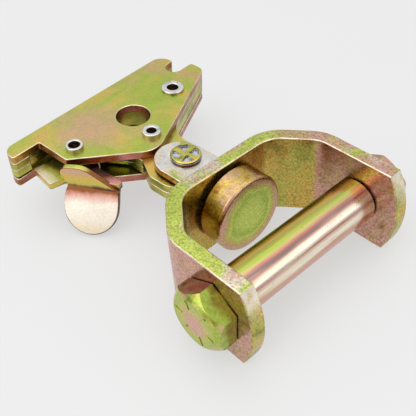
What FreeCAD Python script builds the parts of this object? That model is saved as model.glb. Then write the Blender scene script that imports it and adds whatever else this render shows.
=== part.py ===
import FreeCAD, Part
import math
import os
from FreeCAD import Placement, Rotation, Vector

# Latching track fitting on a swivelling link and a bolted clevis. Millimetres.
# +X runs along the clevis bolt from its head to its nut, +Y runs along the stud
# from the clevis to the fitting, +Z is up. Shapes are drawn about the point where
# the stud's axis meets the inner face of the clevis base. They are exported about
# ORIGIN, the middle of the base's lower edge, which the object lies on.

# ---- clevis bracket: 1/4 x 1-1/2 in flat bar --------------------------------
BAR_T = 6.35
BAR_W = 38.1
ARM_INSIDE = 36.5            # stud axis to the inner face of an arm
BASE_HALF = 23.8             # stud axis to the virtual corner of base and shoulder
SHOULDER_DROP = 16.0         # base to the virtual corner of shoulder and arm
BASE_BEND = 12.0             # inner bend radii
ARM_BEND = 10.0
BOLT_Y = -36.56              # bolt axis
ARM_CORNER = 13.95           # bolt axis to the corners of an arm's end
ARM_APEX = 19.05             # bolt axis to the crown of an arm's end
BAR_EDGE = 0.6
STUD_HOLE = 8.3
BOLT_HOLE = 8.2

# ---- bolt, nut and load sleeve: 5/8 in fastener, 3/4 in sleeve ---------------
BOLT_R = 7.94
HEX_FLATS = 23.8
HEX_TURN = 33.0              # a corner's angle from +Y towards +Z
HEAD_H = 9.0
HEAD_CORNER_DROP = 3.4       # face down to the ends of the corners
HEAD_SHOULDER = (11.7, 0.9)  # radius and depth of the break in the head's crown
HEAD_FACE_R = 10.5
WASHER_FACE = 0.4
CHAMFER_R = 11.3
NUT_H = 9.8
BOLT_PAST_NUT = 2.6
THREAD_PITCH = 1.1
GRADE_LINES = 6
GRADE_TURN = 10.0
GRADE_LINE = (6.2, 9.8)      # radii of a line's ends
SLEEVE_R = 9.525
SLEEVE_BORE = 8.3
SLEEVE_FROM = -36.25
SLEEVE_TO = 35.9

# ---- swivel stud -------------------------------------------------------------
BUTTON_R = 17.05
BUTTON_FACE = -12.17
BUTTON_BACK = -1.85
BUTTON_ROUND = 1.4
SHANK_R = 7.6
SHANK_END = 7.3
NECK_R = 6.0
NECK_PROUD = 0.4             # the neck's end past the inner face of the strap's base

# ---- link strap: it hangs loose on the stud, so it leans as it lies ----------
LEAN_PIVOT = Vector(0, 10.25, 0)
LEAN_ROLL = 1.2
LEAN_LIFT = 4.2
LEAN_YAW = 6.9
STRAP_T = 2.9
STRAP_HALF_GAP = 4.6
STRAP_HALF_W = 11.15
STRAP_BASE = 8.75            # outer face of the strap's base
STRAP_BEND = 2.0
STRAP_END = 28.2             # centre of the round ends of the arms

# ---- link rivet ----------------------------------------------------------------
HINGE_X = 2.2
HINGE_Y = 26.9
RIVET_R = 5.0
RIVET_HEAD_R = 6.7
RIVET_HEAD_H = 1.9
RIVET_TAIL_R = 7.6
RIVET_TAIL_H = 2.2
STAKE_DEPTH = 0.9
STAKE_TURN = -38.0
RUNNING = 0.06               # radial clearance of a pivot

# ---- fitting plates, in a frame centred on the hinge line (u, v, w) ------------
PLATE_T = 3.8
TOP_FACE = 7.4
LAYER_GAP = 1.1              # between the lower middle plate and the lower outer plate
NOSE_V = 63.0
HOOK_LEFT = -46.3
HOOK_RIGHT = 53.3
HOOK_UNDER = 55.1
NOTCH_LEFT = -32.2           # wall of the latch-side notch
NOTCH_RIGHT = 45.7           # wall of the fixed notch
NOTCH_LOW = 46.4
NOTCH_HIGH = 54.8
LOBE_RIGHT = 58.0
APEX = (-2.46, 11.89)
REAR_LEFT_V = 37.3
REAR_RIGHT_V = 38.1
TONGUE_HALF = 13.9
TONGUE_END = -9.5
PLATE_EDGE = 0.45
EYE = (8.3, 37.8)
EYE_R = 7.8

# ---- hollow rivets: u, v, head radius, head height, shank radius, bore radius --
HOLLOW_RIVETS = {
    "latch_pivot_rivet": (-24.6, 40.4, 3.95, 2.1, 3.3, 2.5),
    "tail_rivet": (4.1, 22.0, 4.25, 2.1, 3.4, 2.2),
    "hook_rivet": (35.5, 38.3, 5.45, 1.2, 3.9, 2.7),
}
COLLAR = 1.5                 # width of the collar that keeps the layers apart

# ---- latch ----------------------------------------------------------------------
LATCH_T = 3.0
LATCH_LOW = -3.4
LATCH_BOSS = 8.0
PAD_T = 2.8
PAD_FROM = (-35.2, 35.0)     # ends of the fold line along the pad's front face
PAD_TO = (-24.7, 14.6)
PAD_LIP = [(-14.3, 3.2, 1.5), (-14.4, 9.0, 3.5), (-4.0, 10.5, 10.0)]
PAD_HALF_W = 12.3
PAD_SHIFT = -0.4             # middle of the lower leaf along the fold
PAD_DROP = 8.38              # straight sides below the fold
PAD_FLARE = 31.0             # lower leaf, degrees out from upright
PAD_EDGE = 0.5

# ---- latch spring ------------------------------------------------------------------
WIRE_R = 0.45
COIL_R = 4.4
COIL_ARC = 305.0             # turn of each of the spring's two wires round the pivot
COIL_LOW = 0.65              # level of the anchored wire
ARM_LEVEL = 1.7              # level of the pressing wire
ANCHOR = (-9.9, 20.5)        # end of the leg that bears on the tongue's edge
PRESS = (-20.2, 31.0)        # end of the leg that bears on the lever
PRESS_LOW = -1.6
PRESS_BEND = 0.9

UP = Vector(0, 0, 1)
ALONG_X = Vector(1, 0, 0)
ALONG_Y = Vector(0, 1, 0)

ORIGIN = Vector(0, BAR_T / 2, -BAR_W / 2)
UPPER_MIDDLE = TOP_FACE - PLATE_T
LOWER_MIDDLE = UPPER_MIDDLE - PLATE_T
MIDDLE_BOTTOM = LOWER_MIDDLE - PLATE_T
LOWER_OUTER = MIDDLE_BOTTOM - LAYER_GAP
BOTTOM_FACE = LOWER_OUTER - PLATE_T
STRAP_TOP = STRAP_HALF_GAP + STRAP_T


# ---- helpers --------------------------------------------------------------------------
def outline(corners):
    """Closed face in the XY plane through (x, y, radius) corners, rounded by arcs."""
    spans = []
    count = len(corners)
    for i, (x, y, radius) in enumerate(corners):
        here = Vector(x, y, 0)
        before = Vector(corners[i - 1][0], corners[i - 1][1], 0) - here
        after = Vector(corners[(i + 1) % count][0], corners[(i + 1) % count][1], 0) - here
        before.normalize()
        after.normalize()
        half = before.getAngle(after) / 2
        reach = radius / math.tan(half)
        middle = before + after
        middle.normalize()
        crown = here + middle * (radius / math.sin(half) - radius)
        spans.append((here + before * reach, crown, here + after * reach, radius))
    edges = []
    for i, (start, crown, end, radius) in enumerate(spans):
        if radius > 0:
            edges.append(Part.Arc(start, crown, end).toShape())
        following = spans[(i + 1) % count][0]
        if (following - end).Length > 1e-6:
            edges.append(Part.makeLine(end, following))
    return Part.Face(Part.Wire(edges))


def plate(corners, bottom, thickness):
    """Flat plate cut to the rounded outline."""
    solid = outline(corners).extrude(UP * thickness)
    solid.translate(UP * bottom)
    return solid


def rod(radius, start, end):
    """Round bar between two points."""
    axis = end - start
    return Part.makeCylinder(radius, axis.Length, start, axis)


def upright(radius, u, v, low, high):
    """Round bar along W."""
    return rod(radius, Vector(u, v, low), Vector(u, v, high))


def spun(points, axis):
    """Solid of revolution about a line through the origin, from (radius, height) points."""
    side = UP if axis == ALONG_X else ALONG_X
    profile = [side * r + axis * h for r, h in points]
    face = Part.Face(Part.makePolygon(profile + profile[:1]))
    return face.revolve(Vector(0, 0, 0), axis, 360)


def round_edges(solid, radius, chosen):
    """Fillets the edges that the test picks."""
    edges = [edge for edge in solid.Edges if chosen(edge)]
    return solid.makeFillet(radius, edges)


def at_height(*levels):
    """Test for edges that lie flat at one of the levels."""
    def chosen(edge):
        box = edge.BoundBox
        return box.ZLength < 1e-4 and any(abs(box.ZMin - level) < 1e-4 for level in levels)
    return chosen


def hexagon(low, high, turning):
    """Hexagonal prism along X on the bolt axis, inside a turned (radius, x) profile."""
    corner = HEX_FLATS / math.sqrt(3)
    points = []
    for k in range(7):
        angle = math.radians(HEX_TURN + 60 * k)
        points.append(Vector(low, BOLT_Y + corner * math.cos(angle), corner * math.sin(angle)))
    prism = Part.Face(Part.makePolygon(points)).extrude(ALONG_X * (high - low))
    length = high - low
    turned = spun([(0, 0)] + turning + [(0, length)], ALONG_X)
    turned.translate(Vector(low, BOLT_Y, 0))
    return prism.common(turned)


def leaned(solid):
    """Moves a solid from the link's straight frame to where the link hangs."""
    turn = Rotation(ALONG_Y, LEAN_ROLL) * Rotation(ALONG_X, LEAN_LIFT) * Rotation(UP, LEAN_YAW)
    shift = LEAN_PIVOT - turn.multVec(LEAN_PIVOT)
    moved = solid.copy()
    moved.Placement = Placement(shift, turn).multiply(moved.Placement)
    return moved


def on_head(solid):
    """Moves a solid from the plates' own frame to the hanging fitting."""
    moved = solid.copy()
    moved.translate(Vector(0, HINGE_Y, 0))
    return leaned(moved)


# ---- clevis ------------------------------------------------------------------------------
def clevis_bracket():
    shoulder = math.atan2(SHOULDER_DROP, ARM_INSIDE - BASE_HALF)
    base_out = BASE_HALF + BAR_T * math.tan(shoulder / 2)
    arm_out_y = -SHOULDER_DROP + BAR_T * math.tan((math.pi / 2 - shoulder) / 2)
    arm_out = ARM_INSIDE + BAR_T
    tip = BOLT_Y - ARM_APEX
    corners = [
        (-arm_out, tip, 0),
        (-arm_out, arm_out_y, ARM_BEND + BAR_T),
        (-base_out, BAR_T, BASE_BEND + BAR_T),
        (base_out, BAR_T, BASE_BEND + BAR_T),
        (arm_out, arm_out_y, ARM_BEND + BAR_T),
        (arm_out, tip, 0),
        (ARM_INSIDE, tip, 0),
        (ARM_INSIDE, -SHOULDER_DROP, ARM_BEND),
        (BASE_HALF, 0, BASE_BEND),
        (-BASE_HALF, 0, BASE_BEND),
        (-ARM_INSIDE, -SHOULDER_DROP, ARM_BEND),
        (-ARM_INSIDE, tip, 0),
    ]
    bar = plate(corners, -BAR_W / 2, BAR_W)

    corner_y = BOLT_Y - ARM_CORNER
    half = BAR_W / 2
    side = [
        Part.makeLine(Vector(0, 2 * BAR_T, -half), Vector(0, corner_y, -half)),
        Part.Arc(Vector(0, corner_y, -half), Vector(0, tip, 0), Vector(0, corner_y, half)).toShape(),
        Part.makeLine(Vector(0, corner_y, half), Vector(0, 2 * BAR_T, half)),
        Part.makeLine(Vector(0, 2 * BAR_T, half), Vector(0, 2 * BAR_T, -half)),
    ]
    trim = Part.Face(Part.Wire(side)).extrude(ALONG_X * (2 * arm_out))
    trim.translate(ALONG_X * -arm_out)
    bar = bar.common(trim)

    def sheared(edge):
        box = edge.BoundBox
        on_rim = box.ZLength < 1e-4 and abs(abs(box.ZMin) - half) < 1e-4
        on_end = box.XLength < 1e-4 and box.YMax < corner_y + 1e-3 and box.ZLength > half
        return (on_rim and box.YLength + box.XLength > BAR_T + 1) or on_end

    bar = round_edges(bar, BAR_EDGE, sheared)
    bar = bar.cut(rod(STUD_HOLE, Vector(0, -BAR_T, 0), Vector(0, 2 * BAR_T, 0)))
    return bar.cut(rod(BOLT_HOLE, Vector(-2 * arm_out, BOLT_Y, 0), Vector(2 * arm_out, BOLT_Y, 0)))


def hex_bolt():
    arm_out = ARM_INSIDE + BAR_T
    under_head = -arm_out - WASHER_FACE
    end = arm_out + NUT_H + BOLT_PAST_NUT
    corner = HEX_FLATS / math.sqrt(3)
    crown = [(HEAD_FACE_R, 0), HEAD_SHOULDER, (corner, HEAD_CORNER_DROP), (corner, HEAD_H)]
    bolt = hexagon(under_head - HEAD_H, under_head, crown)
    bolt = bolt.fuse(rod(CHAMFER_R, Vector(under_head, BOLT_Y, 0), Vector(-arm_out, BOLT_Y, 0)))
    shank = rod(BOLT_R, Vector(under_head, BOLT_Y, 0), Vector(end, BOLT_Y, 0))
    shank = shank.makeChamfer(0.8, [e for e in shank.Edges if abs(e.BoundBox.XMin - end) < 1e-4])
    bolt = bolt.fuse(shank)
    groove = THREAD_PITCH * 0.35
    for k in range(2):
        x = arm_out + NUT_H + 0.55 + k * THREAD_PITCH
        ring = rod(BOLT_R + 1, Vector(x - groove / 2, BOLT_Y, 0), Vector(x + groove / 2, BOLT_Y, 0))
        core = rod(BOLT_R - groove, Vector(x - groove, BOLT_Y, 0), Vector(x + groove, BOLT_Y, 0))
        bolt = bolt.cut(ring.cut(core))
    face = under_head - HEAD_H
    for k in range(GRADE_LINES):
        rib = Part.makeBox(0.5, GRADE_LINE[1] - GRADE_LINE[0], 0.8, Vector(face - 0.25, GRADE_LINE[0], -0.4))
        rib.rotate(Vector(0, 0, 0), ALONG_X, GRADE_TURN + 360 / GRADE_LINES * k)
        rib.translate(Vector(0, BOLT_Y, 0))
        bolt = bolt.fuse(rib)
    return bolt


def hex_nut():
    arm_out = ARM_INSIDE + BAR_T
    corner = HEX_FLATS / math.sqrt(3)
    fall = (corner - CHAMFER_R) * math.tan(math.radians(30))
    turning = [(CHAMFER_R, 0), (corner, fall), (corner, NUT_H - fall), (CHAMFER_R, NUT_H)]
    nut = hexagon(arm_out, arm_out + NUT_H, turning)
    return nut.cut(rod(BOLT_R, Vector(arm_out - 1, BOLT_Y, 0), Vector(arm_out + NUT_H + 1, BOLT_Y, 0)))


def load_sleeve():
    start = Vector(SLEEVE_FROM, BOLT_Y, 0)
    end = Vector(SLEEVE_TO, BOLT_Y, 0)
    tube = rod(SLEEVE_R, start, end).cut(rod(SLEEVE_BORE, start, end))
    return tube.makeChamfer(0.35, [e for e in tube.Edges if e.BoundBox.XLength < 1e-4])


# ---- swivel and link --------------------------------------------------------------------------
def neck(start, end):
    """The part of the stud that is fixed in the strap's base."""
    return rod(NECK_R, Vector(0, start, 0), Vector(0, end, 0))


def swivel_stud():
    profile = [
        (0, BUTTON_FACE),
        (BUTTON_R, BUTTON_FACE),
        (BUTTON_R, BUTTON_BACK),
        (SHANK_R, BUTTON_BACK),
        (SHANK_R, SHANK_END),
        (0, SHANK_END),
    ]
    stud = spun(profile, ALONG_Y)

    def face_rim(edge):
        box = edge.BoundBox
        return box.YLength < 1e-4 and abs(box.YMin - BUTTON_FACE) < 1e-4

    stud = round_edges(stud, BUTTON_ROUND, face_rim)
    end = STRAP_BASE + STRAP_T + NECK_PROUD
    beyond = Part.makeBox(4 * NECK_R, 4 * NECK_R, 4 * NECK_R, Vector(-2 * NECK_R, end, -2 * NECK_R))
    tail = neck(SHANK_END, end + NECK_R).cut(leaned(beyond))
    return stud.fuse(tail)


def link_strap():
    inner = STRAP_HALF_GAP
    outer = STRAP_TOP
    tip = STRAP_END + STRAP_HALF_W
    inside = STRAP_BASE + STRAP_T
    bend = STRAP_BEND + STRAP_T
    side = plate([
        (tip, outer, 0), (STRAP_BASE, outer, bend), (STRAP_BASE, -outer, bend), (tip, -outer, 0),
        (tip, -inner, 0), (inside, -inner, STRAP_BEND), (inside, inner, STRAP_BEND), (tip, inner, 0),
    ], -STRAP_HALF_W, 2 * STRAP_HALF_W)
    side.rotate(Vector(0, 0, 0), UP, 90)
    side.rotate(Vector(0, 0, 0), ALONG_Y, 90)
    end_round = STRAP_HALF_W - 0.01
    plan = plate([
        (-STRAP_HALF_W, STRAP_BASE - 1, 0), (STRAP_HALF_W, STRAP_BASE - 1, 0),
        (STRAP_HALF_W, tip, end_round), (-STRAP_HALF_W, tip, end_round),
    ], -2 * outer, 4 * outer)
    strap = side.common(plan)
    strap = round_edges(strap, 0.4, at_height(outer, -outer))
    strap = strap.cut(upright(RIVET_R, HINGE_X, HINGE_Y, -2 * outer, 2 * outer))
    return leaned(strap).cut(neck(0, inside + STRAP_T))


def link_rivet():
    top = STRAP_TOP + RIVET_HEAD_H
    head = upright(RIVET_HEAD_R, 0, 0, STRAP_TOP, top)
    head = round_edges(head, 0.7, at_height(top))
    wedge = plate([(1.1, 0, 0.3), (5.6, -3.6, 1.0), (5.6, 3.6, 1.0)], top - STAKE_DEPTH, 2 * STAKE_DEPTH)
    for k in range(4):
        pocket = wedge.copy()
        pocket.rotate(Vector(0, 0, 0), UP, 90 * k + STAKE_TURN)
        head = head.cut(pocket)
    tail = upright(RIVET_TAIL_R, 0, 0, -STRAP_TOP - RIVET_TAIL_H, -STRAP_TOP)
    tail = round_edges(tail, 1.5, at_height(-STRAP_TOP - RIVET_TAIL_H))
    rivet = upright(RIVET_R, 0, 0, -STRAP_TOP, STRAP_TOP).fuse([head, tail]).removeSplitter()
    rivet.translate(Vector(HINGE_X, HINGE_Y, 0))
    return leaned(rivet)


# ---- fitting plates --------------------------------------------------------------------------------
def fixed_side():
    """Corners shared by every plate, from the rear right edge round the fixed hook."""
    notch_round = (NOTCH_HIGH - NOTCH_LOW) / 2 - 0.05
    return [
        (LOBE_RIGHT, REAR_RIGHT_V, 5.0),
        (LOBE_RIGHT, NOTCH_LOW, 1.5),
        (NOTCH_RIGHT, NOTCH_LOW, notch_round),
        (NOTCH_RIGHT, NOTCH_HIGH, notch_round),
        (HOOK_RIGHT, NOTCH_HIGH, 0.9),
        (HOOK_RIGHT, NOSE_V, 6.5),
        (HOOK_LEFT, NOSE_V, 5.5),
        (HOOK_LEFT, HOOK_UNDER, 1.2),
    ]


def outer_plate(bottom):
    corners = fixed_side() + [
        (NOTCH_LEFT, HOOK_UNDER, 0.8),
        (NOTCH_LEFT, REAR_LEFT_V, 2.5),
        (APEX[0], APEX[1], 11.0),
    ]
    solid = plate(corners, bottom, PLATE_T)
    for u, v, _, _, shank, _ in HOLLOW_RIVETS.values():
        solid = solid.cut(upright(shank, u, v, bottom - 1, bottom + PLATE_T + 1))
    solid = solid.cut(upright(EYE_R, EYE[0], EYE[1], bottom - 1, bottom + PLATE_T + 1))
    faces = at_height(bottom, bottom + PLATE_T)

    def rim(edge):
        round_hole = isinstance(edge.Curve, Part.Circle) and edge.Length > 6 * edge.Curve.Radius
        return faces(edge) and not (round_hole and edge.Curve.Radius < EYE_R - 1)

    return on_head(round_edges(solid, PLATE_EDGE, rim))


def middle_plate(bottom):
    wall = -8.7
    corners = fixed_side() + [
        (-38.1, HOOK_UNDER, 0.6),
        (-38.1, 57.3, 0.8),
        (-14.0, 57.3, 3.0),
        (-14.0, 33.0, 3.0),
        (wall, 25.0, 2.0),
        (wall, 15.5, 0.5),
        (-TONGUE_HALF, 6.3, 5.0),
        (-TONGUE_HALF, TONGUE_END, 8.5),
        (TONGUE_HALF, TONGUE_END, 8.5),
        (TONGUE_HALF, 19.0, 14.0),
    ]
    solid = plate(corners, bottom, PLATE_T)
    low = bottom - 1
    high = bottom + PLATE_T + 1
    for name in ("tail_rivet", "hook_rivet"):
        u, v, _, _, shank, _ = HOLLOW_RIVETS[name]
        solid = solid.cut(upright(shank, u, v, low, high))
    solid = solid.cut(upright(EYE_R, EYE[0], EYE[1], low, high))
    faces = at_height(bottom, bottom + PLATE_T)

    def rim(edge):
        round_hole = isinstance(edge.Curve, Part.Circle) and edge.Length > 6 * edge.Curve.Radius
        return faces(edge) and not round_hole

    solid = round_edges(solid, 0.3, rim)
    return on_head(solid.cut(upright(RIVET_R + RUNNING, HINGE_X, 0, low, high)))


def hollow_rivet(name):
    u, v, head, height, shank, bore = HOLLOW_RIVETS[name]
    collar_top = LATCH_LOW - 0.2 if name == "latch_pivot_rivet" else MIDDLE_BOTTOM
    top = TOP_FACE + height
    bottom = BOTTOM_FACE - height
    profile = [
        (bore, bottom), (head, bottom), (head, BOTTOM_FACE), (shank, BOTTOM_FACE),
        (shank, LOWER_OUTER), (shank + COLLAR, LOWER_OUTER), (shank + COLLAR, collar_top),
        (shank, collar_top), (shank, TOP_FACE), (head, TOP_FACE), (head, top), (bore, top),
    ]
    solid = spun(profile, UP)
    ends = at_height(bottom, top)
    solid = round_edges(solid, 0.5, ends)
    solid.translate(Vector(u, v, 0))
    return on_head(solid)


# ---- latch ---------------------------------------------------------------------------------------------
def lever_plate(inner_start, inner_end):
    u, v = HOLLOW_RIVETS["latch_pivot_rivet"][:2]
    lever = plate([
        (-40.2, 51.4, 1.0),
        (-42.3, 37.9, 1.2),
        (inner_start.x, inner_start.y, 0),
        (inner_end.x, inner_end.y, 0),
        (-20.5, 16.0, 1.2),
        (-20.9, 33.0, 3.0),
        (u, v + LATCH_BOSS - 0.3, 0.5),
    ], LATCH_LOW, LATCH_T)
    lever = lever.fuse(upright(LATCH_BOSS, u, v, LATCH_LOW, LATCH_LOW + LATCH_T)).removeSplitter()
    return round_edges(lever, 0.3, at_height(LATCH_LOW, LATCH_LOW + LATCH_T))


def thumb_pad(half_fold):
    """Upright lip over the fold and flared leaf under it; x along the fold, y up, z outwards."""
    upper = outline([(-half_fold, 0, 0)] + PAD_LIP + [(half_fold, 0, 0)]).extrude(UP * -PAD_T)
    side_y = -PAD_DROP
    bulge = PAD_HALF_W - 0.1
    left = Vector(PAD_SHIFT - PAD_HALF_W, side_y, 0)
    right = Vector(PAD_SHIFT + PAD_HALF_W, side_y, 0)
    lower = Part.Face(Part.Wire([
        Part.makeLine(Vector(-half_fold, 0, 0), Vector(half_fold, 0, 0)),
        Part.Arc(Vector(half_fold, 0, 0), Vector(PAD_SHIFT + bulge, side_y / 2, 0), right).toShape(),
        Part.Arc(right, Vector(PAD_SHIFT, side_y - PAD_HALF_W, 0), left).toShape(),
        Part.Arc(left, Vector(PAD_SHIFT - bulge, side_y / 2, 0), Vector(-half_fold, 0, 0)).toShape(),
    ])).extrude(UP * -PAD_T)

    def rims(edge):
        box = edge.BoundBox
        return box.ZLength < 1e-4 and box.YLength > 0.5

    upper = round_edges(upper, PAD_EDGE, rims)
    lower = round_edges(lower, PAD_EDGE, rims)
    lower.rotate(Vector(0, 0, 0), ALONG_X, -PAD_FLARE)
    bend = Part.makeCylinder(PAD_T, 2 * half_fold, Vector(-half_fold, 0, 0), ALONG_X, PAD_FLARE)
    bend.rotate(Vector(0, 0, 0), ALONG_X, 180 - PAD_FLARE)
    return upper.fuse([lower, bend])


def latch():
    start = Vector(PAD_FROM[0], PAD_FROM[1], 0)
    end = Vector(PAD_TO[0], PAD_TO[1], 0)
    along = end - start
    half_fold = along.Length / 2
    along.normalize()
    inward = UP.cross(along)
    half_t = inward * (PAD_T / 2)
    lever = lever_plate(start + half_t, end + half_t)
    pad = thumb_pad(half_fold)
    middle = (start + end) * 0.5
    turn = Rotation(along, UP, inward * -1, "ZXY")
    pad.Placement = Placement(Vector(middle.x, middle.y, LATCH_LOW), turn)
    u, v, _, _, shank, _ = HOLLOW_RIVETS["latch_pivot_rivet"]
    bore = upright(shank + RUNNING, u, v, LATCH_LOW - 1, LATCH_LOW + LATCH_T + 1)
    return on_head(lever.fuse(pad).cut(bore))


def tangent_angle(hook, side):
    """Angle on the coil where a straight leg to the hook leaves it, before or after the turns."""
    u, v = HOLLOW_RIVETS["latch_pivot_rivet"][:2]
    reach = math.hypot(hook[0] - u, hook[1] - v)
    heading = math.degrees(math.atan2(hook[1] - v, hook[0] - u))
    return heading - side * math.degrees(math.acos(COIL_R / reach))


def on_coil(angle, level):
    u, v = HOLLOW_RIVETS["latch_pivot_rivet"][:2]
    turn = math.radians(angle)
    return Vector(u + COIL_R * math.cos(turn), v + COIL_R * math.sin(turn), level)


def wire_arc(start, heading, centre, axis, angle):
    """Round wire from a point, turned about an axis."""
    section = Part.Face(Part.Wire(Part.makeCircle(WIRE_R, start, heading)))
    return section.revolve(centre, axis, angle)


def latch_spring():
    u, v = HOLLOW_RIVETS["latch_pivot_rivet"][:2]
    foot = on_coil(tangent_angle(ANCHOR, -1), COIL_LOW)
    hook = Vector(ANCHOR[0], ANCHOR[1], COIL_LOW)
    coil = wire_arc(foot, foot - hook, Vector(u, v, COIL_LOW), UP, COIL_ARC)
    return on_head(rod(WIRE_R, hook, foot).fuse(coil))


def spring_arm():
    u, v = HOLLOW_RIVETS["latch_pivot_rivet"][:2]
    foot = on_coil(tangent_angle(PRESS, 1), ARM_LEVEL)
    heading = Vector(PRESS[0], PRESS[1], ARM_LEVEL) - foot
    heading.normalize()
    knee = Vector(PRESS[0], PRESS[1], ARM_LEVEL) - heading * PRESS_BEND
    coil = wire_arc(foot, heading, Vector(u, v, ARM_LEVEL), UP, -COIL_ARC)
    bend = wire_arc(knee, heading, knee - UP * PRESS_BEND, UP.cross(heading), 90)
    end = Vector(PRESS[0], PRESS[1], PRESS_LOW)
    drop = rod(WIRE_R, Vector(PRESS[0], PRESS[1], ARM_LEVEL - PRESS_BEND), end)
    return on_head(rod(WIRE_R, foot, knee).fuse([coil, bend, drop]))


NODES = {
    "clevis_bracket": clevis_bracket,
    "hex_bolt": hex_bolt,
    "hex_nut": hex_nut,
    "load_sleeve": load_sleeve,
    "swivel_stud": swivel_stud,
    "link_strap": link_strap,
    "link_rivet": link_rivet,
    "upper_outer_plate": lambda: outer_plate(UPPER_MIDDLE),
    "upper_middle_plate": lambda: middle_plate(LOWER_MIDDLE),
    "lower_middle_plate": lambda: middle_plate(MIDDLE_BOTTOM),
    "lower_outer_plate": lambda: outer_plate(BOTTOM_FACE),
    "latch_pivot_rivet": lambda: hollow_rivet("latch_pivot_rivet"),
    "tail_rivet": lambda: hollow_rivet("tail_rivet"),
    "hook_rivet": lambda: hollow_rivet("hook_rivet"),
    "latch": latch,
    "latch_spring": latch_spring,
    "spring_arm": spring_arm,
}

os.makedirs("parts", exist_ok=True)
for name, make in NODES.items():
    shape = make()
    shape.translate(ORIGIN * -1)
    shape.exportStep("parts/" + name + ".step")
    print(name, len(shape.Solids), shape.isValid(), round(shape.Volume, 1))
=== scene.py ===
import bpy
import math
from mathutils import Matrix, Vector


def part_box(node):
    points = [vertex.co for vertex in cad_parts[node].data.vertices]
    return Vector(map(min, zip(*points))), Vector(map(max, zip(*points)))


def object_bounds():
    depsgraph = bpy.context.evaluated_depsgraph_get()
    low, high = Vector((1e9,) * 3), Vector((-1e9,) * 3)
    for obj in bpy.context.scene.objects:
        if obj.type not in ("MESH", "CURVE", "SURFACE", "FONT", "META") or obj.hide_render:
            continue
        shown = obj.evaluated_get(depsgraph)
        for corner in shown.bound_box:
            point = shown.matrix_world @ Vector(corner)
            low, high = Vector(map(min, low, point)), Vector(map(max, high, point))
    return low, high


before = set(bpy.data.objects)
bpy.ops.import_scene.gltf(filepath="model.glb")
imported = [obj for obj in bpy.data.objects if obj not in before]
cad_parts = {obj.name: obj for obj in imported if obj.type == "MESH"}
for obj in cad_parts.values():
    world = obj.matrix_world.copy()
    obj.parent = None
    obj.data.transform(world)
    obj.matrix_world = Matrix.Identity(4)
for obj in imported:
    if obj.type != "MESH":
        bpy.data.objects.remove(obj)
cad_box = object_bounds()


# ---- colours ---------------------------------------------------------------------
def tone(red, green, blue):
    """Linear colour from 0-255 display values."""
    def linear(value):
        value /= 255
        return value / 12.92 if value <= 0.04045 else ((value + 0.055) / 1.055) ** 2.4
    return (linear(red), linear(green), linear(blue), 1.0)


GOLD = tone(226, 190, 98)
OLIVE = tone(204, 196, 100)
GREEN = tone(176, 196, 84)
PINK = tone(226, 170, 156)
ROSE = tone(204, 132, 122)
TAN = tone(214, 180, 132)
BROWN = tone(150, 94, 56)
DARK = tone(84, 60, 34)
PLUM = tone(120, 72, 70)
MOSS = tone(150, 150, 66)
LIME = tone(208, 222, 108)
BLUE = tone(196, 206, 222)
PALE = tone(238, 222, 196)
CREAM = tone(248, 238, 222)
SILVER = tone(220, 222, 220)
STEEL = tone(150, 148, 140)


WHITE = (1, 1, 1, 1)


def grey(value):
    return (value, value, value, 1)


# ---- places on the object, in metres ------------------------------------------------
LINK_AXIS = Vector((0.020886, -0.073238, 0.997096))
PLATE_STAIN = (-0.017, 0.068, 0.03)
BRACKET_STAIN = (0.038, -0.012, 0.036)
TURN = 2 * math.pi


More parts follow.
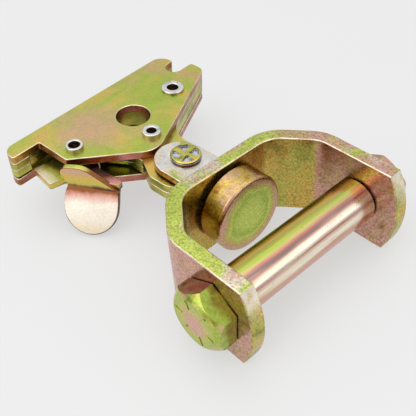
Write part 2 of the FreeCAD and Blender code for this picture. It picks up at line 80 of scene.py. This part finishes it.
# ---- material building blocks -------------------------------------------------------
class Graph:
    """Short names for wiring one material's nodes."""

    def __init__(self, name):
        self.material = bpy.data.materials.new(name)
        self.material.use_nodes = True
        self.tree = self.material.node_tree
        self.shader = self.tree.nodes["Principled BSDF"]
        self.place = self.tree.nodes.new("ShaderNodeTexCoord")

    def node(self, kind, **settings):
        made = self.tree.nodes.new(kind)
        for key, value in settings.items():
            setattr(made, key, value)
        return made

    def link(self, source, target):
        self.tree.links.new(source, target)

    def spread(self, scale):
        mapping = self.node("ShaderNodeMapping")
        mapping.inputs["Scale"].default_value = scale
        self.link(self.place.outputs["Object"], mapping.inputs["Vector"])
        return mapping.outputs["Vector"]

    def noise(self, size, detail=3.0, stretch=(1, 1, 1), shift=0.0, rough=0.55, warp=0.0):
        """Noise whose features are about size metres across."""
        scale = tuple(1 / (size * s) for s in stretch)
        made = self.node("ShaderNodeTexNoise", noise_dimensions="4D")
        made.inputs["W"].default_value = shift
        made.inputs["Scale"].default_value = 1.0
        made.inputs["Detail"].default_value = detail
        made.inputs["Roughness"].default_value = rough
        made.inputs["Distortion"].default_value = warp
        self.link(self.spread(scale), made.inputs["Vector"])
        return made.outputs["Fac"]

    def ramp(self, fac, stops):
        made = self.node("ShaderNodeValToRGB")
        elements = made.color_ramp.elements
        while len(elements) < len(stops):
            elements.new(0.5)
        for element, (position, colour) in zip(elements, stops):
            element.position = position
            element.color = colour
        self.link(fac, made.inputs["Fac"])
        return made.outputs["Color"]

    def level(self, fac, low, high, out_low=0.0, out_high=1.0):
        made = self.node("ShaderNodeMapRange", interpolation_type="SMOOTHSTEP")
        made.inputs["From Min"].default_value = low
        made.inputs["From Max"].default_value = high
        made.inputs["To Min"].default_value = out_low
        made.inputs["To Max"].default_value = out_high
        self.link(fac, made.inputs["Value"])
        return made.outputs["Result"]

    def mix(self, fac, first, second, blend="MIX"):
        made = self.node("ShaderNodeMix", data_type="RGBA", blend_type=blend)
        if isinstance(fac, float):
            made.inputs["Factor"].default_value = fac
        else:
            self.link(fac, made.inputs["Factor"])
        for socket, value in ((made.inputs[6], first), (made.inputs[7], second)):
            if isinstance(value, tuple):
                socket.default_value = value
            else:
                self.link(value, socket)
        return made.outputs[2]

    def math(self, kind, first, second):
        made = self.node("ShaderNodeMath", operation=kind)
        for socket, value in zip(made.inputs, (first, second)):
            if isinstance(value, (int, float)):
                socket.default_value = value
            else:
                self.link(value, socket)
        return made.outputs[0]

    def part_of(self, output, axis):
        made = self.node("ShaderNodeSeparateXYZ")
        self.link(self.place.outputs[output], made.inputs[0])
        return made.outputs[axis]

    def vector(self, kind, source, value):
        """Vector maths on a socket and a fixed vector."""
        made = self.node("ShaderNodeVectorMath", operation=kind)
        made.inputs[1].default_value = value
        self.link(source, made.inputs[0])
        return made.outputs

    def radius_about(self, centre, keep):
        """Distance from a line through centre: keep is 1 on the two axes across that line."""
        centred = self.vector("SUBTRACT", self.place.outputs["Object"], centre)[0]
        across = self.vector("MULTIPLY", centred, keep)[0]
        length = self.node("ShaderNodeVectorMath", operation="LENGTH")
        self.link(across, length.inputs[0])
        return length.outputs["Value"]

    def specked(self, colour, speck, low, high, darkest):
        """Darken a colour where the speck noise runs low."""
        return self.mix(1.0, colour, self.ramp(speck, [(low, grey(darkest)), (high, WHITE)]), "MULTIPLY")

    def finish(self, colour, roughness, bump, bump_depth, metallic=1.0):
        shader = self.shader
        shader.inputs["Metallic"].default_value = metallic
        self.link(colour, shader.inputs["Base Color"])
        self.link(roughness, shader.inputs["Roughness"])
        relief = self.node("ShaderNodeBump")
        relief.inputs["Strength"].default_value = 0.5
        relief.inputs["Distance"].default_value = bump_depth
        self.link(bump, relief.inputs["Height"])
        self.link(relief.outputs["Normal"], shader.inputs["Normal"])
        return self.material


def chromate(name, patches, size, seed, grain=0.3, marks=0.45, rough=(0.2, 0.36),
             tops=None, sides=None, fronts=None, rim_highlight=None, blooms=None, stain=None):
    """Yellow chromate over zinc: drifting interference colours, a fine grain and small dull marks.

    tops recolours the faces that look up, sides every face that doesn't, and fronts the faces
    that look along -Y. The rim colour is a painted highlight where a flat face rolls over into
    an edge, blooms are wide soft stains, and stain is the middle of one large pink stain."""
    g = Graph(name)
    even = (1, 1, 1)
    lift = g.part_of("Normal", "Z")

    def film(tones, shift):
        stops = [(0.32 + 0.36 * i / (len(tones) - 1), c) for i, c in enumerate(tones)]
        return g.ramp(g.noise(size, 3.0, even, seed + shift, warp=0.5), stops)

    colour = film(patches, 0)
    blotch = g.level(g.noise(size * 0.35, 3.0, even, seed + 7), 0.54, 0.7)
    colour = g.mix(g.math("MULTIPLY", blotch, 0.3), colour, patches[-1])
    if tops:
        colour = g.mix(g.level(lift, 0.82, 0.95), colour, film(tops, 3))
    if blooms:
        bloom = g.level(g.noise(size * 0.8, 2.0, even, seed + 15, warp=0.3), 0.5, 0.66, 0.0, 0.75)
        colour = g.mix(bloom, colour, blooms)
    if stain:
        away = g.vector("DISTANCE", g.place.outputs["Object"], stain)["Value"]
        fray = g.math("MULTIPLY", g.noise(0.012, 3.0, even, seed + 21), 0.02)
        ragged = g.math("ADD", away, fray)
        colour = g.mix(g.level(ragged, 0.014, 0.032, 0.65, 0.0), colour, PINK)
    if fronts:
        facing = g.level(g.part_of("Normal", "Y"), -0.55, -0.3, 1.0, 0.0)
        colour = g.mix(facing, colour, film(fronts, 2))
    if sides:
        colour = g.mix(g.level(lift, 0.55, 0.8, 1.0, 0.0), colour, film(sides, 4))
    colour = g.specked(colour, g.noise(0.0008, 2.0, even, seed + 11), 0.34, 0.62, 1 - grain)
    mark = g.level(g.noise(0.0024, 5.0, even, seed + 19, rough=0.7), 0.66, 0.72)
    colour = g.mix(g.math("MULTIPLY", mark, marks), colour, DARK)
    # Painted highlight: a pale band where a flat face rolls over into an edge, broken up by noise.
    if rim_highlight:
        rolled = g.math("MULTIPLY", g.level(lift, 0.12, 0.4), g.level(lift, 0.82, 0.97, 1.0, 0.0))
        highlight_breakup = g.level(g.noise(0.006, 4.0, even, seed + 37), 0.35, 0.6, 0.35, 0.95)
        colour = g.mix(g.math("MULTIPLY", rolled, highlight_breakup), colour, rim_highlight)
    roughness = g.level(g.noise(0.004, 4.0, even, seed + 23), 0.3, 0.7, rough[0], rough[1])
    fine = g.noise(0.0009, 3.0, even, seed + 29)
    relief = g.math("ADD", fine, g.noise(0.005, 2.0, even, seed + 31))
    return g.finish(colour, roughness, relief, 0.00014 * grain)


def bright_plate_and_shade(name, seed):
    """Bright zinc on a formed rivet: silver crown, with painted shade browning the bore and lower faces.
    """
    g = Graph(name)
    colour = g.ramp(g.noise(0.003, 4.0, (1, 1, 0.4), seed), [(0.3, STEEL), (0.5, SILVER), (0.7, PALE)])
    # Painted shade: faces that don't look up, the bore and the lower head, are mixed towards brown.
    low = g.level(g.part_of("Normal", "Z"), -0.1, 0.75)
    colour = g.mix(low, g.mix(0.55, colour, BROWN), colour)
    roughness = g.level(g.noise(0.0012, 3.0, (1, 1, 1), seed + 5), 0.3, 0.7, 0.16, 0.34)
    relief = g.noise(0.0008, 3.0, (1, 1, 1), seed + 9)
    return g.finish(colour, roughness, relief, 0.00005)


def crossed_rivet():
    """Staked rivet: gold-green crown and cross, blue-silver pits, painted shade on the edge below the
    crown and on the lower part.
    """
    g = Graph("link_rivet_chromate_and_shade")
    top = max(corner.co.dot(LINK_AXIS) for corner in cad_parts["link_rivet"].data.vertices)
    along = g.vector("DOT_PRODUCT", g.place.outputs["Object"], LINK_AXIS)["Value"]
    depth = g.math("SUBTRACT", top, along)
    crown = g.ramp(g.noise(0.004, 3.0, (1, 1, 1), 2.0), [(0.35, MOSS), (0.5, OLIVE), (0.65, GOLD)])
    pit = g.ramp(g.noise(0.002, 3.0, (1, 1, 1), 4.0), [(0.35, STEEL), (0.5, BLUE), (0.65, SILVER)])
    # Painted shade: DARK just below the crown.
    colour = g.mix(g.level(depth, 0.0002, 0.0005), crown, DARK)
    colour = g.mix(g.level(depth, 0.0006, 0.0008), colour, pit)
    # Painted shade: DARK again on the lower part, deepest along the axis.
    colour = g.mix(g.level(depth, 0.0010, 0.0012), colour, DARK)
    roughness = g.level(g.noise(0.0012, 3.0, (1, 1, 1), 6.0), 0.3, 0.7, 0.16, 0.3)
    return g.finish(colour, roughness, g.noise(0.0008, 3.0, (1, 1, 1), 8.0), 0.00005)


def paint(node, material):
    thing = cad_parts[node]
    thing.data.materials.clear()
    thing.data.materials.append(material)


# ---- the pieces' finishes ----------------------------------------------------------------
# Colours by angle round the sleeve's axis: the film's own hues placed as painted reflections, with the
# CREAM and PALE bands as painted highlights.
SLEEVE_FILM_AND_REFLECTIONS = [(0.0, PINK), (0.06, PINK), (0.12, BROWN), (0.3, OLIVE), (0.5, BROWN), (0.6, DARK),
               (0.65, MOSS), (0.7, GOLD), (0.735, OLIVE), (0.765, GREEN), (0.79, TAN), (0.81, ROSE),
               (0.83, STEEL), (0.85, PINK), (0.87, PALE), (0.895, CREAM), (0.915, PINK), (0.935, PALE),
               (0.96, CREAM), (0.985, TAN), (1.0, PINK)]


def sleeve_film_and_reflections():
    """Drawn tube: film colours laid out by angle round the axis as painted reflections and painted
    highlight bands, running along it in long ragged streaks.
    """
    g = Graph("sleeve_chromate_and_reflections")
    low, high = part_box("load_sleeve")
    across = g.math("SUBTRACT", g.part_of("Object", "Y"), (low.y + high.y) / 2)
    above = g.math("SUBTRACT", g.part_of("Object", "Z"), (low.z + high.z) / 2)
    angle = g.math("ARCTAN2", above, across)
    turn = g.math("ADD", g.math("MULTIPLY", angle, 1 / TURN), 0.5)
    ragged = g.math("MULTIPLY", g.math("SUBTRACT", g.noise(0.003, 4.0, (12, 1, 1), 2.0), 0.5), 0.1)
    # Painted reflections and highlights: the colour follows the angle round the axis.
    colour = g.ramp(g.math("ADD", turn, ragged), SLEEVE_FILM_AND_REFLECTIONS)
    drift = g.noise(0.014, 3.0, (2, 1, 1), 5.0)
    colour = g.mix(g.level(drift, 0.5, 0.7, 0.0, 0.35), colour, PINK)
    lines = g.noise(0.0006, 3.0, (60, 1, 1), 8.0)
    colour = g.specked(colour, lines, 0.3, 0.65, 0.78)
    pits = g.level(g.noise(0.0012, 3.0, (1, 1, 1), 12.0), 0.66, 0.72)
    colour = g.mix(g.math("MULTIPLY", pits, 0.5), colour, DARK)
    roughness = g.level(lines, 0.3, 0.7, 0.14, 0.28)
    return g.finish(colour, roughness, lines, 0.00003)


def stud_finish():
    """Button head: green in the middle of its face, pink round the rim, brown sides."""
    g = Graph("stud_chromate")
    low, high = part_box("swivel_stud")
    radius = g.radius_about((low + high) / 2, (1, 0, 1))
    ragged = g.math("ADD", radius, g.math("MULTIPLY", g.noise(0.006, 4.0, (1, 1, 1), 3.0), 0.008))
    face = g.ramp(g.level(ragged, 0.008, 0.022), [(0.0, LIME), (0.4, GREEN), (0.55, LIME),
                                                  (0.7, OLIVE), (0.85, TAN), (1.0, PINK)])
    mottle = g.noise(0.011, 3.0, (1, 1, 1), 6.0)
    side = g.ramp(mottle, [(0.34, BROWN), (0.46, GOLD), (0.55, TAN), (0.66, ROSE)])
    front = g.level(g.part_of("Normal", "Y"), -0.9, -0.6, 1.0, 0.0)
    colour = g.mix(front, side, face)
    colour = g.specked(colour, g.noise(0.0009, 2.0, (1, 1, 1), 9.0), 0.32, 0.62, 0.62)
    roughness = g.level(g.noise(0.003, 4.0, (1, 1, 1), 12.0), 0.3, 0.7, 0.18, 0.33)
    return g.finish(colour, roughness, g.noise(0.001, 4.0, (1, 1, 1), 15.0), 0.00008)


def latch_film_and_light():
    """Film colours with painted light: gold lip, partly painted reflection, over painted shade in the
    fold; pale leaf painted lighter where it faces up; green nose and pink tail, the tail painted
    brighter.
    """
    g = Graph("latch_chromate_and_light")
    lift = g.part_of("Normal", "Z")
    low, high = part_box("latch")
    height = g.math("DIVIDE", g.math("SUBTRACT", g.part_of("Object", "Z"), low.z), high.z - low.z)
    wander = g.math("SUBTRACT", g.noise(0.005, 3.0, (1, 1, 1), 1.0), 0.5)
    ragged = g.math("MULTIPLY", wander, 0.12)
    band = g.math("ADD", height, ragged)
    # Lip: film colours as a painted reflection, with DARK and PLUM at its foot as painted shade in the
    # fold.
    lip = g.ramp(band, [(0.62, DARK), (0.66, PLUM), (0.71, OLIVE), (0.8, GOLD), (0.9, TAN), (0.97, PINK)])
    # Leaf: pale film colours, turning BROWN towards the fold as painted shade.
    leaf = g.ramp(band, [(0.1, PALE), (0.25, CREAM), (0.45, CREAM), (0.54, PINK), (0.6, BROWN)])
    # Lever tops: their own green and pink, with the tail painted brighter to stand in for light under the
    # plate.
    reach = g.math("ADD", g.part_of("Object", "X"), g.math("MULTIPLY", ragged, 0.06))
    lever = g.ramp(g.level(reach, low.x, high.x), [(0.0, PALE), (0.12, GREEN), (0.4, LIME),
                                                   (0.6, OLIVE), (0.85, PINK)])
    # Painted light: faces that look up take the pale leaf colours, the others the darker lip colours.
    colour = g.mix(g.level(lift, 0.2, 0.42), lip, leaf)
    colour = g.mix(g.level(lift, 0.75, 0.92), colour, lever)
    colour = g.specked(colour, g.noise(0.0009, 2.0, (1, 1, 1), 7.0), 0.3, 0.6, 0.88)
    mark = g.level(g.noise(0.002, 5.0, (1, 1, 1), 9.0, rough=0.7), 0.67, 0.74)
    colour = g.mix(g.math("MULTIPLY", mark, 0.18), colour, DARK)
    roughness = g.level(g.noise(0.004, 3.0, (1, 1, 1), 11.0), 0.3, 0.7, 0.24, 0.36)
    return g.finish(colour, roughness, g.noise(0.001, 3.0, (1, 1, 1), 13.0), 0.00004)


def bolt_finish():
    """Hex bolt: pink in the middle of its end, olive round it, rose and green flats."""
    g = Graph("bolt_chromate")
    low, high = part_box("hex_bolt")
    radius = g.radius_about((low + high) / 2, (0, 1, 1))
    ragged = g.math("ADD", radius, g.math("MULTIPLY", g.noise(0.005, 3.0, (1, 1, 1), 3.0), 0.006))
    end = g.ramp(g.level(ragged, 0.004, 0.014), [(0.0, PINK), (0.3, TAN), (0.6, OLIVE), (1.0, GREEN)])
    upper = g.ramp(g.noise(0.008, 2.0, (1, 1, 1), 5.0), [(0.35, ROSE), (0.5, TAN), (0.65, BROWN)])
    lower = g.ramp(g.noise(0.008, 2.0, (1, 1, 1), 7.0), [(0.35, MOSS), (0.5, GREEN), (0.65, DARK)])
    flats = g.mix(g.level(g.part_of("Normal", "Y"), -0.2, 0.1), lower, upper)
    ring = g.ramp(g.noise(0.006, 3.0, (1, 1, 1), 8.0), [(0.35, OLIVE), (0.5, GREEN), (0.65, TAN)])
    facing = g.part_of("Normal", "X")
    colour = g.mix(g.level(facing, -0.4, -0.2), ring, flats)
    colour = g.mix(g.level(facing, -0.98, -0.93, 1.0, 0.0), colour, end)
    colour = g.specked(colour, g.noise(0.0008, 2.0, (1, 1, 1), 9.0), 0.32, 0.62, 0.8)
    roughness = g.level(g.noise(0.003, 4.0, (1, 1, 1), 12.0), 0.3, 0.7, 0.14, 0.27)
    return g.finish(colour, roughness, g.noise(0.001, 4.0, (1, 1, 1), 15.0), 0.00005)


def spring_finish():
    g = Graph("spring_wire")
    colour = g.ramp(g.noise(0.002, 3.0, (1, 1, 1), 4.0), [(0.35, DARK), (0.5, STEEL), (0.65, SILVER)])
    roughness = g.level(g.noise(0.001, 2.0, (1, 1, 1), 6.0), 0.3, 0.7, 0.25, 0.42)
    return g.finish(colour, roughness, g.noise(0.0005, 2.0, (1, 1, 1), 8.0), 0.00002)


paint("clevis_bracket", chromate("bracket_chromate", [BROWN, TAN, PINK, TAN, ROSE], 0.02, 1.0,
                                 tops=[GREEN, LIME, LIME, PALE, PINK], fronts=[MOSS, OLIVE, GOLD, MOSS],
                                 rim_highlight=CREAM, blooms=PINK, grain=0.5, stain=BRACKET_STAIN))
paint("hex_bolt", bolt_finish())
paint("hex_nut", chromate("nut_chromate", [GOLD, TAN, PINK, ROSE], 0.01, 33.0, rough=(0.18, 0.32)))
paint("load_sleeve", sleeve_film_and_reflections())
paint("swivel_stud", stud_finish())
# Strap tops: silver-green and pink film, with the PALE and CREAM patches as painted highlights.
paint("link_strap", chromate("strap_chromate", [GOLD, BROWN, TAN, ROSE], 0.012, 41.0,
                             tops=[SILVER, GREEN, PALE, SILVER, CREAM, PINK], rim_highlight=CREAM, grain=0.25))
PLATES = ("upper_outer_plate", "upper_middle_plate", "lower_middle_plate", "lower_outer_plate")
for index, node in enumerate(PLATES):
    edge = [BROWN, ROSE, BROWN, GOLD] if "outer" in node else [MOSS, OLIVE, MOSS, GOLD]
    paint(node, chromate(node + "_chromate", [GOLD, OLIVE, GREEN, OLIVE], 0.028, 50.0 + index,
                         sides=edge, tops=[GOLD, OLIVE, GREEN, OLIVE, GOLD], rim_highlight=CREAM,
                         blooms=TAN, stain=PLATE_STAIN, rough=(0.24, 0.38), grain=0.14, marks=0.12))
paint("latch", latch_film_and_light())
for index, node in enumerate(("latch_pivot_rivet", "tail_rivet", "hook_rivet")):
    paint(node, bright_plate_and_shade(node + "_zinc_and_shade", 80.0 + index))
paint("link_rivet", crossed_rivet())
for node in ("latch_spring", "spring_arm"):
    paint(node, spring_finish())


# ---- floor, light and camera ---------------------------------------------------------------
FLOOR_SIZE = 60.0
FLOOR_GAP = 0.0001
FLOOR_GLOW = 0.56


def pale_floor():
    low = min(corner[2] for corner in cad_box)
    bpy.ops.mesh.primitive_plane_add(size=FLOOR_SIZE, location=(0, 0, low - FLOOR_GAP))
    floor = bpy.context.object
    floor.name = "floor"
    g = Graph("floor_white")
    cloud = g.noise(0.6, 2.0, (1, 1, 1), 1.0)
    colour = g.ramp(cloud, [(0.3, grey(0.21)), (0.7, grey(0.23))])
    glow = g.ramp(cloud, [(0.3, (0.97, 0.98, 0.97, 1)), (0.7, WHITE)])
    g.link(glow, g.shader.inputs["Emission Color"])
    g.shader.inputs["Emission Strength"].default_value = FLOOR_GLOW
    roughness = g.level(g.noise(0.3, 2.0, (1, 1, 1), 2.0), 0.3, 0.7, 0.45, 0.55)
    floor.data.materials.append(g.finish(colour, roughness, g.noise(0.01, 2.0), 0.00001, 0.0))


def area_light(name, place, aim, size, power):
    data = bpy.data.lights.new(name, "AREA")
    data.shape = "RECTANGLE"
    data.size, data.size_y = size
    data.energy = power
    light = bpy.data.objects.new(name, data)
    light.location = place
    light.rotation_euler = (Vector(aim) - Vector(place)).to_track_quat("-Z", "Y").to_euler()
    bpy.context.collection.objects.link(light)


HORIZON = (0.30, 0.28, 0.25, 1)
LOW_SKY = (0.62, 0.61, 0.59, 1)
ZENITH = (0.95, 0.96, 1.0, 1)
SKY_STRENGTH = 1.1


def studio_world():
    """White tent that darkens towards the horizon, which gives the metal its contrast."""
    world = bpy.data.worlds.new("studio")
    bpy.context.scene.world = world
    world.use_nodes = True
    tree = world.node_tree
    place = tree.nodes.new("ShaderNodeTexCoord")
    split = tree.nodes.new("ShaderNodeSeparateXYZ")
    ramp = tree.nodes.new("ShaderNodeValToRGB")
    tree.links.new(place.outputs["Generated"], split.inputs[0])
    tree.links.new(split.outputs["Z"], ramp.inputs["Fac"])
    tree.links.new(ramp.outputs["Color"], tree.nodes["Background"].inputs["Color"])
    elements = ramp.color_ramp.elements
    elements[0].position = 0.0
    elements[0].color = HORIZON
    elements[1].position = 1.0
    elements[1].color = ZENITH
    middle = elements.new(0.35)
    middle.color = LOW_SKY
    tree.nodes["Background"].inputs["Strength"].default_value = SKY_STRENGTH


CAMERA_PLACE = (-0.13574, -0.15512, 0.20158)
CAMERA_TURN = tuple(math.radians(angle) for angle in (47.54, 3.68, -42.61))
SENSOR_WIDTH = 36.0
LENS = 57.54


def photo_camera():
    data = bpy.data.cameras.new("camera")
    data.sensor_width = SENSOR_WIDTH
    data.lens = LENS
    data.clip_start = 0.01
    camera = bpy.data.objects.new("camera", data)
    camera.location = CAMERA_PLACE
    camera.rotation_euler = CAMERA_TURN
    bpy.context.collection.objects.link(camera)
    bpy.context.scene.camera = camera


pale_floor()
studio_world()
area_light("overhead", (-0.1, 0.1, 0.9), (0, 0.02, 0), (1.4, 1.4), 3.2)
area_light("left_softbox", (-0.8, 0.1, 0.55), (0, 0.02, 0), (0.9, 0.9), 2.2)
area_light("front_softbox", (0.35, -0.9, 0.5), (0, 0, 0), (0.9, 0.5), 1.2)
photo_camera()
scene = bpy.context.scene
scene.view_settings.view_transform = "Standard"
scene.view_settings.look = "None"
